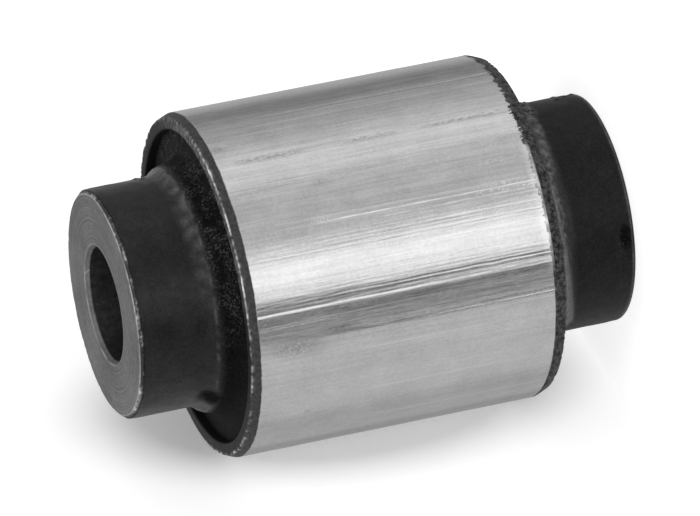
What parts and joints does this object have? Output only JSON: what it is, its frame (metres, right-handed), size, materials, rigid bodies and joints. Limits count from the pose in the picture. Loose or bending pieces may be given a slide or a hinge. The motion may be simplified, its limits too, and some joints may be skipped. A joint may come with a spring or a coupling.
{
  "type": "bonded rubber and metal bush",
  "caption": "Bonded suspension bush: a thick steel bolt sleeve inside a rubber moulding inside a thin steel shell that presses into an eye.",
  "frame": {"origin": "the middle of the bush, on its axis, halfway between the two end faces", "axes": "+Z along the bolt's axis, towards the end that the picture shows; the two ends are the same, and the bush stands on the lower one"},
  "size_m": [0.043, 0.043, 0.064],
  "materials": {
    "sleeve_steel": "turned steel, dulled by a phosphate coat",
    "moulded_rubber": "matte black natural rubber",
    "shell_steel": "drawn bright steel with score lines along the axis and a dark coat on the end chamfers"
  },
  "bodies": {
    "root": {"inner_sleeve": "sleeve_steel", "rubber_body": "moulded_rubber", "outer_shell": "shell_steel"}
  },
  "joints": []
}
